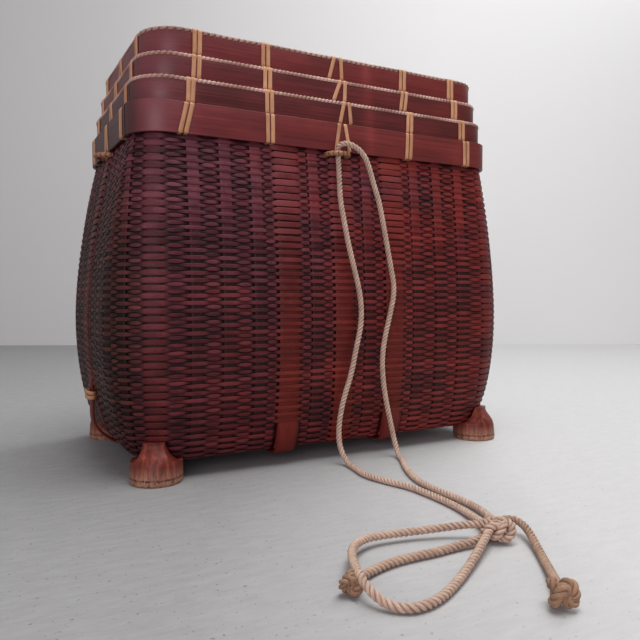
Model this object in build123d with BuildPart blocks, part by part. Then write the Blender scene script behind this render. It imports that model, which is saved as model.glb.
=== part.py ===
from build123d import *
import math
import os

# Lacquered bamboo creel: a bulging woven basket on four culm feet, closed by two
# lift-out trays and a lid that stack inside its rim, with a cord on its front bar.
# Millimetres. +X to the right, -Y is the front, +Z up. The origin is on the floor
# under the middle of the basket.

os.makedirs("parts", exist_ok=True)

# ---------------------------------------------------------------- driving sizes

# Rim band of the basket, outside
RIM_WIDTH = 303.0
RIM_DEPTH = 172.0
RIM_CORNER = 25.0
RIM_BOTTOM = 229.0
RIM_BAND = 20.7

# Each piece of the stack stands this far inside the one below
STEP_SIDE = 3.7
STEP_FRONT = 2.0

# Split bamboo bands and the weave that they hold between them
HOOP = 2.8
WEAVE = 2.6
INNER_HOOP = 2.2
TRAY_WALL = 1.8
TRAY_FLOOR = 2.0
EDGE_HEIGHT = 2.6
EDGE_ROUNDING = 0.8
SKIRT_GAP = 0.5
LEAST_CORNER = 2.0

# Basket wall: swell of the belly past the neck, and how far the base draws in again
BELLY_HEIGHT = 103.0
SWELL_SIDE = 19.3
SWELL_FRONT = 9.3
SWELL_CORNER = 16.0
DRAW_SIDE = 24.0
DRAW_FRONT = 14.0
DRAW_CORNER = 6.0
NECK_POWER = 1.7
BASE_HEIGHT = 12.0
BASE_RISE = 7.0

# Flat ribs on the outside of the weave
RIB_SEAT = 0.5
RIB_THICKNESS = 1.4
CROSS_RIB_WIDTH = 18.0
CROSS_RIB_PLACE = 45.0
CENTRE_RIB_WIDTH = 15.5
CENTRE_RIB_END = 27.0
LONG_RIB_WIDTH = 14.0
LONG_RIB_THICKNESS = 2.0
UNDER_RIB_THICKNESS = 2.0
LONG_RIB_STAND_OFF = 8.0
STAND_OFF_TOP = 52.0

# Culm feet
FOOT_ANGLE = 27.0
FOOT_BASE_RADIUS = 17.5
FOOT_WAIST_RADIUS = 14.4
FOOT_LEAN = 5.6
FOOT_COLLAR = 14.5
FOOT_SHOULDER = 4.6
CORNER_SEAT = 36.0
TONGUE_PROUD = 2.0
TONGUE_WIDTH = 14.0
TONGUE_TOP = 27.0
TONGUE_THICKNESS = 4.5

# Bars for the cord and the carrying strap, and the knots low on the sides
BAR_SPAN = 16.5
BAR_RISE = 9.8
BAR_RADIUS = 2.4
BAR_HEIGHT = 226.2
CORD_BAR_PLACE = -3.0
KNOT_HEIGHT = 50.0
KNOT_SIZE = (9.0, 19.0, 9.0)
KNOT_ROUNDING = 2.0

# Rattan lashings
STRIP_WIDTH = 2.7
STRIP_THICKNESS = 0.8
STRIP_PITCH = 3.3
INNER_PAIR = 58.5
RIM_END_PAIR = 118.0
LID_END_PAIR = 106.5
SIDE_PAIR = 51.0
SCARF_SLIT = 0.5

# Cord and its knots
CORD = 4.2
BOW_KNOT_PLACE = (-14.2, -264.6)
BOW_KNOT_RADIUS = 10.2
BOW_KNOT_HEIGHT = 12.4
LEFT_END_KNOT = (-108.6, -280.8)
LEFT_END_RADIUS = 5.8
RIGHT_END_KNOT = (-41.8, -329.6)
RIGHT_END_RADIUS = 7.3
KNOT_LIFT = 0.1

# name, place in the stack, band height, depth of the skirt below its band
TRAY_LOWER = ("tray_lower", 1, 17.0, 24.0)
TRAY_UPPER = ("tray_upper", 2, 16.0, 14.0)
LID = ("lid", 3, 17.3, 10.0)

# ---------------------------------------------------------------- cord routes

START_OF_CORD = (-4.0, -88.2, 226.0)

LEFT_STRAND = [
    START_OF_CORD,
    (-3.28, -87.96, 220.6),
    (-3.8, -89.6, 211.8),
    (-4.9, -92.9, 193.0),
    (-2.7, -94.9, 177.0),
    (0.2, -96.2, 160.0),
    (5.2, -96.8, 141.0),
    (10.4, -97.2, 121.0),
    (10.8, -97.3, 102.0),
    (6.3, -97.2, 84.0),
    (2.4, -96.9, 65.0),
    (-4.7, -96.7, 46.0),
    (-8.8, -97.2, 28.0),
    (-9.0, -98.4, 12.6),
    (-7.4, -107.4, 2.3),
    (-9.4, -121.5, 2.3),
    (-12.6, -139.0, 2.3),
    (-8.6, -157.0, 2.3),
    (-1.8, -175.0, 2.3),
    (-0.6, -195.0, 2.3),
    (-0.8, -214.0, 2.3),
    (-3.4, -231.0, 2.4),
    (-8.8, -246.0, 3.6),
    (-13.2, -259.2, 5.8),
]

RIGHT_STRAND = [
    START_OF_CORD,
    (-4.6, -88.4, 230.5),
    (-3.2, -91.6, 233.4),
    (0.8, -95.6, 233.2),
    (6.8, -98.2, 229.8),
    (12.6, -98.9, 224.4),
    (16.6, -98.8, 216.0),
    (20.2, -98.4, 205.6),
    (25.4, -98.1, 193.0),
    (29.5, -97.6, 177.0),
    (33.4, -97.3, 160.0),
    (37.2, -97.2, 143.0),
    (40.6, -97.3, 126.5),
    (36.5, -97.4, 109.0),
    (31.9, -97.3, 92.5),
    (29.2, -97.2, 76.0),
    (30.1, -97.1, 59.0),
    (32.9, -97.2, 42.5),
    (36.5, -97.6, 27.0),
    (39.3, -98.8, 12.6),
    (37.6, -107.4, 2.3),
    (32.0, -120.4, 2.3),
    (23.6, -134.6, 2.3),
    (16.4, -150.2, 2.3),
    (10.8, -166.0, 2.3),
    (8.2, -184.0, 2.3),
    (9.4, -202.0, 2.3),
    (8.8, -219.0, 2.3),
    (5.2, -235.0, 2.6),
    (-1.4, -247.4, 4.0),
    (-8.6, -258.8, 6.2),
]

LOOP = [
    (-18.6, -262.3, 8.0),
    (-21.8, -257.0, 7.6),
    (-28.0, -252.4, 6.4),
    (-37.2, -248.0, 5.2),
    (-49.8, -243.8, 4.4),
    (-65.0, -240.8, 4.4),
    (-78.2, -241.6, 5.2),
    (-91.6, -251.6, 6.8),
    (-101.4, -269.4, 8.2),
    (-106.6, -284.0, 8.4),
    (-107.0, -292.2, 6.0),
    (-104.4, -297.2, 3.2),
    (-101.0, -302.4, 2.3),
    (-94.2, -306.0, 2.3),
    (-83.0, -304.4, 2.3),
    (-70.4, -298.4, 2.3),
    (-57.0, -290.4, 2.9),
    (-44.0, -282.2, 4.2),
    (-32.2, -274.6, 6.2),
    (-22.4, -268.0, 7.4),
]

LEFT_TAIL = [
    (-19.0, -264.0, 4.0),
    (-27.6, -266.0, 3.2),
    (-38.2, -265.0, 2.3),
    (-51.6, -265.8, 2.3),
    (-65.0, -265.0, 2.3),
    (-77.4, -265.2, 2.3),
    (-88.2, -267.8, 2.3),
    (-95.8, -270.6, 2.5),
    (-101.6, -273.8, 3.2),
]

RIGHT_TAIL = [
    (-6.2, -260.4, 7.8),
    (-0.4, -258.6, 7.4),
    (3.2, -263.6, 6.6),
    (-0.4, -273.2, 4.8),
    (-6.6, -283.2, 3.2),
    (-14.0, -294.2, 2.4),
    (-22.6, -306.0, 2.9),
    (-30.8, -316.2, 4.4),
    (-37.0, -324.0, 5.8),
]

# ---------------------------------------------------------------- plan outlines


def outside(place):
    """Outer plan of a band by its place in the stack: half width, half depth, corner."""
    half_width = RIM_WIDTH / 2 - place * STEP_SIDE
    half_depth = RIM_DEPTH / 2 - place * STEP_FRONT
    return half_width, half_depth, RIM_CORNER


def inward(plan, distance):
    """A plan moved in by a distance; its corner stays at least a small round."""
    half_width, half_depth, corner = plan
    return half_width - distance, half_depth - distance, max(corner - distance, LEAST_CORNER)


def draw(plan, mode=Mode.ADD):
    """The plan as a rounded rectangle in the sketch that is open."""
    half_width, half_depth, corner = plan
    RectangleRounded(2 * half_width, 2 * half_depth, corner, mode=mode)


NECK = inward(outside(0), HOOP)
RIM_TOP = RIM_BOTTOM + RIM_BAND
SEAM_HEIGHT = BASE_HEIGHT + BASE_RISE


def wall_plan(height):
    """Outer plan of the woven wall at a height: the neck, swollen into the belly."""
    half_width, half_depth, corner = NECK
    if height >= BELLY_HEIGHT:
        rise = min((height - BELLY_HEIGHT) / (RIM_BOTTOM - BELLY_HEIGHT), 1.0)
        swell = 1 - rise**NECK_POWER
        draw_in = 0.0
    else:
        fall = (BELLY_HEIGHT - height) / (BELLY_HEIGHT - BASE_HEIGHT)
        swell = 1.0
        draw_in = 1 - math.sqrt(max(1 - fall**2, 0.0))
    return (
        half_width + swell * SWELL_SIDE - draw_in * DRAW_SIDE,
        half_depth + swell * SWELL_FRONT - draw_in * DRAW_FRONT,
        corner + swell * SWELL_CORNER - draw_in * DRAW_CORNER,
    )


def between(low, high, shares):
    """Heights at the given shares of the way from low to high."""
    return [low + share * (high - low) for share in shares]


LOWER_WALL = between(SEAM_HEIGHT, BELLY_HEIGHT, (0.0, 0.1, 0.25, 0.45, 0.7))
UPPER_WALL = between(BELLY_HEIGHT, RIM_BOTTOM, (0.0, 0.2, 0.4, 0.6, 0.8, 1.0))
WALL_HEIGHTS = LOWER_WALL + UPPER_WALL
BASE_OUTER = between(BASE_HEIGHT, SEAM_HEIGHT, (0.0, 0.15, 0.4, 0.7, 1.0))
BASE_INNER = between(BASE_HEIGHT + WEAVE, SEAM_HEIGHT, (0.0, 0.4, 1.0))


def sections(heights, thinner=0.0):
    """Sketches of the wall's plan at some heights, moved in by a wall thickness."""
    made = []
    for height in heights:
        with BuildSketch(Plane.XY.offset(height)) as plan:
            draw(inward(wall_plan(height), thinner))
        made.append(plan.sketch)
    return made


def save(piece, name):
    """Label a finished sub-part and write it as its own file."""
    piece.part.label = name
    export_step(piece.part, f"parts/{name}.step")


# ---------------------------------------------------------------- basket wall and base

with BuildPart() as wall_solid:
    loft(sections(WALL_HEIGHTS))
    with BuildSketch(Plane.XY.offset(RIM_BOTTOM)):
        draw(NECK)
    extrude(amount=RIM_BAND)

with BuildPart() as base_solid:
    loft(sections(BASE_OUTER))

with BuildPart() as envelope:
    add(wall_solid.part)
    add(base_solid.part)

with BuildPart() as body_weave:
    add(wall_solid.part)
    loft(sections(WALL_HEIGHTS, WEAVE), mode=Mode.SUBTRACT)
    with BuildSketch(Plane.XY.offset(RIM_BOTTOM)):
        draw(inward(NECK, WEAVE))
    extrude(amount=RIM_BAND, mode=Mode.SUBTRACT)

with BuildPart() as base_weave:
    add(base_solid.part)
    loft(sections(BASE_INNER, WEAVE), mode=Mode.SUBTRACT)

# ---------------------------------------------------------------- bands of the stack


def band(outer, inner, low, high, rounding=0.0):
    """A closed band between two plans, its outer edges softened."""
    with BuildPart() as made:
        with BuildSketch(Plane.XY.offset(low)):
            draw(outer)
            draw(inner, mode=Mode.SUBTRACT)
        extrude(amount=high - low)
        if rounding > 0:
            for face in (made.faces().sort_by(Axis.Z)[0], made.faces().sort_by(Axis.Z)[-1]):
                fillet(face.outer_wire().edges(), rounding)
    return made


def loops(outer, inner, low, high, end_pair):
    """Lashings: pairs of closed rattan loops around a band, from its outer face to its
    inner face. They stand proud outside and lie flush at the top, bottom and inside."""
    middle = (low + high) / 2
    height = high - low
    pair_places = (-end_pair, -INNER_PAIR, 0.0, INNER_PAIR, end_pair)
    side_places = (-SIDE_PAIR, 0.0, SIDE_PAIR)
    runs = ((Plane.YZ, pair_places, outer[1], inner[1]), (Plane.XZ, side_places, outer[0], inner[0]))
    with BuildPart() as made:
        for plane, places, out_face, in_face in runs:
            reach = out_face + STRIP_THICKNESS - in_face
            centre = (out_face + STRIP_THICKNESS + in_face) / 2
            for place in places:
                for strip in (-STRIP_PITCH / 2, STRIP_PITCH / 2):
                    with BuildSketch(plane.offset(place + strip)):
                        with Locations((-centre, middle), (centre, middle)):
                            Rectangle(reach, height)
                            Rectangle(
                                reach - 2 * STRIP_THICKNESS,
                                height - 2 * STRIP_THICKNESS,
                                mode=Mode.SUBTRACT,
                            )
                    extrude(amount=STRIP_WIDTH / 2, both=True)
    return made


def scarf(plan, low, high):
    """A thin cutter at the band's two ends, where they meet on the left side."""
    half_width, half_depth, corner = plan
    with BuildPart(Plane.XY.offset(low)) as made:
        with Locations((-half_width, corner - half_depth)):
            Box(
                2 * HOOP + STRIP_THICKNESS,
                SCARF_SLIT,
                high - low,
                align=(Align.CENTER, Align.CENTER, Align.MIN),
            )
    return made


def trimmed(piece, *cutters):
    """A piece with the solids of its neighbours cut out of it."""
    with BuildPart() as made:
        add(piece.part)
        for cutter in cutters:
            add(cutter.part, mode=Mode.SUBTRACT)
    return made


rim_inside = inward(NECK, WEAVE + INNER_HOOP)
rim_lashings = loops(outside(0), rim_inside, RIM_BOTTOM, RIM_TOP, RIM_END_PAIR)
rim_outer_hoop = trimmed(
    band(outside(0), NECK, RIM_BOTTOM, RIM_TOP, EDGE_ROUNDING),
    rim_lashings,
    scarf(outside(0), RIM_BOTTOM, RIM_TOP),
)
rim_inner_hoop = trimmed(
    band(inward(NECK, WEAVE), rim_inside, RIM_BOTTOM, RIM_TOP), rim_lashings
)
save(trimmed(body_weave, rim_lashings), "body_weave")
save(base_weave, "base_weave")
save(rim_outer_hoop, "rim_outer_hoop")
save(rim_inner_hoop, "rim_inner_hoop")
save(rim_lashings, "rim_lashings")

seat = rim_inside
bottom = RIM_TOP
for name, place, band_height, skirt in (TRAY_LOWER, TRAY_UPPER, LID):
    top = bottom + band_height
    edge_bottom = top - EDGE_HEIGHT
    outer = outside(place)
    hoop_inside = inward(outer, HOOP)
    skirt_outside = inward(seat, SKIRT_GAP)
    skirt_inside = inward(skirt_outside, TRAY_WALL)
    clear_inside = inward(skirt_inside, INNER_HOOP)
    is_lid = name == "lid"
    end_pair = RIM_END_PAIR + (LID_END_PAIR - RIM_END_PAIR) * place / LID[1]
    lashings = loops(outer, clear_inside, bottom, top, end_pair)

    # the woven wall steps out above the rim that it sits on; a tray is closed at its
    # foot and the lid at its top
    floor_height = edge_bottom - TRAY_FLOOR if is_lid else bottom - skirt
    with BuildPart() as weave:
        with BuildSketch(Plane.XY.offset(bottom)):
            draw(hoop_inside)
        extrude(amount=edge_bottom - bottom)
        with BuildSketch(Plane.XY.offset(bottom - skirt)):
            draw(skirt_outside)
        extrude(amount=skirt)
        hollow_low = bottom - skirt if is_lid else floor_height + TRAY_FLOOR
        hollow_high = floor_height if is_lid else edge_bottom
        with BuildSketch(Plane.XY.offset(hollow_low)):
            draw(skirt_inside)
        extrude(amount=hollow_high - hollow_low, mode=Mode.SUBTRACT)
        add(lashings.part, mode=Mode.SUBTRACT)

    inner_top = floor_height if is_lid else edge_bottom
    hoop = trimmed(
        band(outer, hoop_inside, bottom, edge_bottom, EDGE_ROUNDING),
        lashings,
        scarf(outer, bottom, edge_bottom),
    )
    inner_hoop = trimmed(band(skirt_inside, clear_inside, bottom, inner_top), lashings)
    edge = trimmed(band(outer, clear_inside, edge_bottom, top, EDGE_ROUNDING), lashings)
    save(weave, f"{name}_weave")
    save(hoop, f"{name}_hoop")
    save(inner_hoop, f"{name}_inner_hoop")
    save(edge, f"{name}_edge")
    save(lashings, f"{name}_lashings")
    seat = clear_inside
    bottom = top

# ---------------------------------------------------------------- ribs


def upright_points(side, distance, low):
    """Points down the wall, at a distance outside it; side 0 is the flank, 1 the front."""
    heights = [height for height in reversed(WALL_HEIGHTS) if height > low] + [low]
    return [(-wall_plan(height)[side] - distance, height) for height in heights]


def down(points):
    """The direction in which a line down the wall starts."""
    return (Vector(*points[1]) - Vector(*points[0])).normalized().to_tuple()[:2]


# The ribs are drawn a little into the weave and then cut to it, so that they lie on it.
# A cross rib runs down the front, under the base and up the back. Under the base it
# lies against the long rib, which lies against the base.
under_top = BASE_HEIGHT - LONG_RIB_THICKNESS
for name, place in (("cross_rib_left", -CROSS_RIB_PLACE), ("cross_rib_right", CROSS_RIB_PLACE)):
    inner_line = upright_points(1, -RIB_SEAT, SEAM_HEIGHT)
    outer_line = upright_points(1, RIB_THICKNESS, SEAM_HEIGHT)
    fold = -wall_plan(BASE_HEIGHT)[1]
    with BuildPart() as cross_rib:
        with BuildSketch(Plane.YZ.offset(place)):
            with BuildLine():
                inside = Spline(
                    *inner_line, (fold, under_top), tangents=(down(inner_line), (1, 0))
                )
                Line(inside @ 1, (0, under_top))
                Line((0, under_top), (0, under_top - UNDER_RIB_THICKNESS))
                under = Line(
                    (0, under_top - UNDER_RIB_THICKNESS), (fold, under_top - UNDER_RIB_THICKNESS)
                )
                skin = Spline(*outer_line, under @ 1, tangents=(down(outer_line), (1, 0)))
                Line(skin @ 0, inside @ 0)
            make_face()
        extrude(amount=CROSS_RIB_WIDTH / 2, both=True)
        mirror(about=Plane.XZ)
        add(envelope.part, mode=Mode.SUBTRACT)
    save(cross_rib, name)

centre_ribs = []
for name, facing in (("centre_rib_front", 1), ("centre_rib_back", -1)):
    inner_line = upright_points(1, -RIB_SEAT, CENTRE_RIB_END)
    outer_line = upright_points(1, RIB_THICKNESS, CENTRE_RIB_END)
    with BuildPart() as centre_rib:
        with BuildSketch(Plane.YZ):
            with BuildLine():
                inside = Spline(*[(facing * y, z) for y, z in inner_line])
                skin = Spline(*[(facing * y, z) for y, z in outer_line])
                Line(inside @ 0, skin @ 0)
                Line(inside @ 1, skin @ 1)
            make_face()
        extrude(amount=CENTRE_RIB_WIDTH / 2, both=True)
        add(envelope.part, mode=Mode.SUBTRACT)
    centre_ribs.append(centre_rib)
    save(centre_rib, name)

# The long rib runs down one flank, stands off the weave below its knot, passes under
# the base and goes up the other flank.
flank_inner = upright_points(0, -RIB_SEAT, STAND_OFF_TOP)
flank_outer = upright_points(0, RIB_THICKNESS, STAND_OFF_TOP)
corner_x = wall_plan(2 * BASE_HEIGHT)[0] + LONG_RIB_STAND_OFF
fold_x = wall_plan(BASE_HEIGHT)[0]
with BuildPart() as long_rib:
    with BuildSketch(Plane.XZ):
        with BuildLine():
            inside = Spline(
                *flank_inner,
                (-corner_x, 2.4 * BASE_HEIGHT),
                (-fold_x, BASE_HEIGHT),
                tangents=(down(flank_inner), (1, 0)),
            )
            Line(inside @ 1, (0, BASE_HEIGHT))
            Line((0, BASE_HEIGHT), (0, under_top))
            under = Line((0, under_top), (-fold_x, under_top))
            skin = Spline(
                *flank_outer,
                (-corner_x - LONG_RIB_THICKNESS, 2.3 * BASE_HEIGHT),
                under @ 1,
                tangents=(down(flank_outer), (1, 0)),
            )
            Line(skin @ 0, inside @ 0)
        make_face()
    extrude(amount=LONG_RIB_WIDTH / 2, both=True)
    mirror(about=Plane.YZ)
    add(envelope.part, mode=Mode.SUBTRACT)
save(long_rib, "long_rib")

# ---------------------------------------------------------------- feet

# the foot stands out from the corner of the wall at the height of its seat
seat_half_width, seat_half_depth, seat_corner = wall_plan(CORNER_SEAT)
outward = Vector(math.sin(math.radians(FOOT_ANGLE)), math.cos(math.radians(FOOT_ANGLE)), 0)
corner_centre = Vector(seat_half_width - seat_corner, seat_half_depth - seat_corner, 0)
waist_axis = corner_centre + outward * (seat_corner + TONGUE_PROUD - FOOT_WAIST_RADIUS)
base_axis = waist_axis + outward * FOOT_LEAN

# height, radius, and how far the ring has leaned out from the waist towards the base
FOOT_RINGS = (
    (0.0, FOOT_BASE_RADIUS - 1.2, 1.0),
    (2.5, FOOT_BASE_RADIUS, 1.0),
    (8.0, FOOT_BASE_RADIUS - 0.2, 0.95),
    (FOOT_COLLAR, FOOT_BASE_RADIUS - 0.5, 0.8),
    (FOOT_COLLAR + 5.5, FOOT_WAIST_RADIUS + 1.2, 0.4),
    (TONGUE_TOP, FOOT_WAIST_RADIUS, 0.1),
    (CORNER_SEAT, FOOT_WAIST_RADIUS, 0.0),
)

# the culm is pared down to a tongue that runs up the corner of the basket
with BuildPart() as pared_outline:
    with BuildSketch(Plane(waist_axis, x_dir=(-outward.Y, outward.X, 0), z_dir=outward)):
        with BuildLine():
            half_foot = FOOT_BASE_RADIUS + 1.0
            shoulder = FOOT_BASE_RADIUS - FOOT_SHOULDER
            low_line = Polyline(
                (0, 0), (half_foot, 0), (half_foot, FOOT_COLLAR), (shoulder, FOOT_COLLAR)
            )
            pared = Spline(
                low_line @ 1,
                (0.58 * FOOT_BASE_RADIUS, FOOT_COLLAR + 3.2),
                (TONGUE_WIDTH / 2, TONGUE_TOP - 2.0),
            )
            Polyline(pared @ 1, (TONGUE_WIDTH / 2, TONGUE_TOP), (0, TONGUE_TOP), (0, 0))
        make_face()
        mirror(about=Plane.YZ)
    extrude(amount=2 * FOOT_BASE_RADIUS, both=True)

rings = []
for ring_height, ring_radius, lean in FOOT_RINGS:
    ring_centre = waist_axis + (base_axis - waist_axis) * lean
    with BuildSketch(Plane((ring_centre.X, ring_centre.Y, ring_height))) as ring:
        Circle(ring_radius)
    rings.append(ring.sketch)

with BuildPart() as foot:
    loft(rings)
    add(pared_outline.part, mode=Mode.INTERSECT)
    # behind the tongue the culm stops under the base
    with BuildSketch(Plane.XY.offset(BASE_HEIGHT)):
        hollow_centre = waist_axis - outward * TONGUE_THICKNESS
        with Locations((hollow_centre.X, hollow_centre.Y)):
            Circle(FOOT_WAIST_RADIUS)
    extrude(amount=CORNER_SEAT, mode=Mode.SUBTRACT)
    add(envelope.part, mode=Mode.SUBTRACT)

foot_sides = (
    ("foot_front_left", -1, -1),
    ("foot_front_right", 1, -1),
    ("foot_back_left", -1, 1),
    ("foot_back_right", 1, 1),
)
for name, side_x, side_y in foot_sides:
    shape = foot.part
    if side_x < 0:
        shape = mirror(shape, about=Plane.YZ)
    if side_y < 0:
        shape = mirror(shape, about=Plane.XZ)
    with BuildPart() as placed_foot:
        add(shape)
    save(placed_foot, name)

# ---------------------------------------------------------------- bars and side knots

bar_flank, bar_front, _ = wall_plan(BAR_HEIGHT)
bars = (
    ("cord_bar_front", (CORD_BAR_PLACE, -bar_front), (0, -1)),
    ("cord_bar_back", (CORD_BAR_PLACE, bar_front), (0, 1)),
    ("strap_bar_left", (-bar_flank, 0), (-1, 0)),
    ("strap_bar_right", (bar_flank, 0), (1, 0)),
)
for name, (root_x, root_y), (out_x, out_y) in bars:
    half_span = BAR_SPAN / 2
    ends = [(root_x + s * half_span * out_y, root_y + s * half_span * out_x) for s in (-1, 1)]
    crown = (root_x + BAR_RISE * out_x, root_y + BAR_RISE * out_y)
    with BuildPart() as bar:
        with BuildLine(Plane.XY.offset(BAR_HEIGHT)):
            arch = ThreePointArc(ends[0], crown, ends[1])
        with BuildSketch(Plane(arch @ 0, z_dir=arch % 0)):
            Circle(BAR_RADIUS)
        sweep()
        add(envelope.part, mode=Mode.SUBTRACT)
        for rib in (*centre_ribs, long_rib):
            add(rib.part, mode=Mode.SUBTRACT)
    save(bar, name)

knot_x = wall_plan(KNOT_HEIGHT)[0] + KNOT_SIZE[0] / 2 - 1.0
for name, side in (("side_knot_left", -1), ("side_knot_right", 1)):
    with BuildPart() as side_knot:
        with Locations((side * knot_x, 0, KNOT_HEIGHT)):
            Box(*KNOT_SIZE)
        fillet(side_knot.edges(), KNOT_ROUNDING)
        add(envelope.part, mode=Mode.SUBTRACT)
        add(long_rib.part, mode=Mode.SUBTRACT)
    save(side_knot, name)

# ---------------------------------------------------------------- cord

with BuildPart(Plane((*BOW_KNOT_PLACE, BOW_KNOT_HEIGHT / 2 + KNOT_LIFT))) as bow_knot:
    Cylinder(BOW_KNOT_RADIUS, BOW_KNOT_HEIGHT)
    fillet(bow_knot.edges().filter_by(GeomType.CIRCLE), 0.48 * BOW_KNOT_HEIGHT)
save(bow_knot, "bow_knot")


def bend_radii(points):
    """For each inner point, the largest tangent arc that its two runs allow."""
    radii = []
    for before, here, after in zip(points, points[1:], points[2:]):
        first = Vector(*here) - Vector(*before)
        second = Vector(*after) - Vector(*here)
        turn = math.radians(first.get_angle(second))
        radii.append(0.45 * min(first.length, second.length) / math.tan(turn / 2))
    return radii


def tube(name, points, *knots):
    """A stretch of cord as straight runs joined by tangent arcs, cut to its knots."""
    radii = bend_radii(points)
    with BuildPart() as made:
        with BuildLine():
            route = FilletPolyline(*points, radius=radii)
        with BuildSketch(Plane(route @ 0, z_dir=route % 0)):
            Circle(CORD / 2)
        sweep()
        expected = math.pi * (CORD / 2) ** 2 * route.length
        print(
            f"{name}: length {route.length:.0f}, tightest bend {min(radii):.1f}, "
            f"volume ratio {made.part.volume / expected:.4f}"
        )
        for knot in knots:
            add(knot.part, mode=Mode.SUBTRACT)
    save(made, name)


end_knots = (
    ("end_knot_left", LEFT_END_KNOT, LEFT_END_RADIUS),
    ("end_knot_right", RIGHT_END_KNOT, RIGHT_END_RADIUS),
)
end_knot_solids = {}
for name, place, radius in end_knots:
    with BuildPart() as end_knot:
        with Locations((*place, radius + KNOT_LIFT)):
            Sphere(radius)
    end_knot_solids[name] = end_knot
    save(end_knot, name)

# the loop presses into the left end knot a little
tube("cord_loop", LOOP, bow_knot)
tube("cord_left_strand", LEFT_STRAND, bow_knot)
tube("cord_right_strand", RIGHT_STRAND, bow_knot)
tube("cord_left_tail", LEFT_TAIL, bow_knot, end_knot_solids["end_knot_left"])
tube("cord_right_tail", RIGHT_TAIL, bow_knot, end_knot_solids["end_knot_right"])
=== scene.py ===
import math

import bpy
import numpy as np
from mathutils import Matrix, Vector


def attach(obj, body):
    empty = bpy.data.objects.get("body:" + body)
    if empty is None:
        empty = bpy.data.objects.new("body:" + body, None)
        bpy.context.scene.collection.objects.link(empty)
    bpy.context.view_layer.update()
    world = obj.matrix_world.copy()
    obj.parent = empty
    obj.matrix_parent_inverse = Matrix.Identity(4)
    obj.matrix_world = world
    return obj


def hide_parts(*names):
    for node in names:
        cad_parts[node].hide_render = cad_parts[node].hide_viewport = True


# Looks of the lacquered bamboo creel. Lengths are millimetres until a mesh is made. The
# cord's routes, the studio, the lamps and the camera are in metres.

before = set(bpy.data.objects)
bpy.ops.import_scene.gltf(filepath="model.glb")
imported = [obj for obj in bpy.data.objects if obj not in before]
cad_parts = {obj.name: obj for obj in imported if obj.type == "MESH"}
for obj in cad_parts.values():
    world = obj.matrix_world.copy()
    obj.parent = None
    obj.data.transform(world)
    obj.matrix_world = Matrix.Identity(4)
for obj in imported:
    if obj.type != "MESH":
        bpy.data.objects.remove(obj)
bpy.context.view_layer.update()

MM = 0.001
RIGHT = np.array([1.0, 0.0, 0.0])
BACK = np.array([0.0, 1.0, 0.0])
UP = np.array([0.0, 0.0, 1.0])
rng = np.random.default_rng(11)

# ---- basket sizes

# Half width, half depth and corner of the wall at its neck, how much they swell below
# it, and how much they draw in towards the base
NECK = (148.7, 83.2, 22.2)
SWELL = (19.3, 9.3, 16.0)
DRAW = (24.0, 14.0, 6.0)
NECK_POWER = 1.7
RIM_BOTTOM = 229.0
BELLY_HEIGHT = 103.0
BASE_HEIGHT = 12.0

HOOP = 2.8
INNER_HOOP = 2.2
WEAVE = 2.6
TRAY_WALL = 1.8
SKIRT_GAP = 0.5
CORNER = 25.0
EDGE_HEIGHT = 2.6

# name, outer plan, bottom and top of the band, skirt below it, how light its hoop is
BANDS = (
    ("rim", (151.5, 86.0, CORNER), 229.0, 249.7, 0.0, 0.5),
    ("tray_lower", (147.8, 84.0, CORNER), 249.7, 266.7, 24.0, 0.0),
    ("tray_upper", (144.1, 82.0, CORNER), 266.7, 282.7, 14.0, 0.15),
    ("lid", (140.4, 80.0, CORNER), 282.7, 300.0, 10.0, 0.5),
)

# ---- meshes of strips


def unit(vectors):
    """Vectors made one long."""
    return vectors / np.maximum(np.linalg.norm(vectors, axis=-1, keepdims=True), 1e-9)


def tangents_of(line):
    return unit(np.gradient(line, axis=0))


def runs(line):
    """How far along a line each of its points is."""
    return np.concatenate([[0.0], np.cumsum(np.linalg.norm(np.diff(line, axis=0), axis=1))])


def full_turn(sides):
    """Angles once round a section."""
    return np.linspace(0, 2 * math.pi, sides, endpoint=False)


def per_ring(value):
    """A number, one per ring or one per vertex, ready to spread over the vertices."""
    value = np.asarray(value, float)
    return value[:, None] if value.ndim == 1 else value


def placed(name, data):
    """A new object in the scene."""
    thing = bpy.data.objects.new(name, data)
    bpy.context.scene.collection.objects.link(thing)
    return thing


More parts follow.
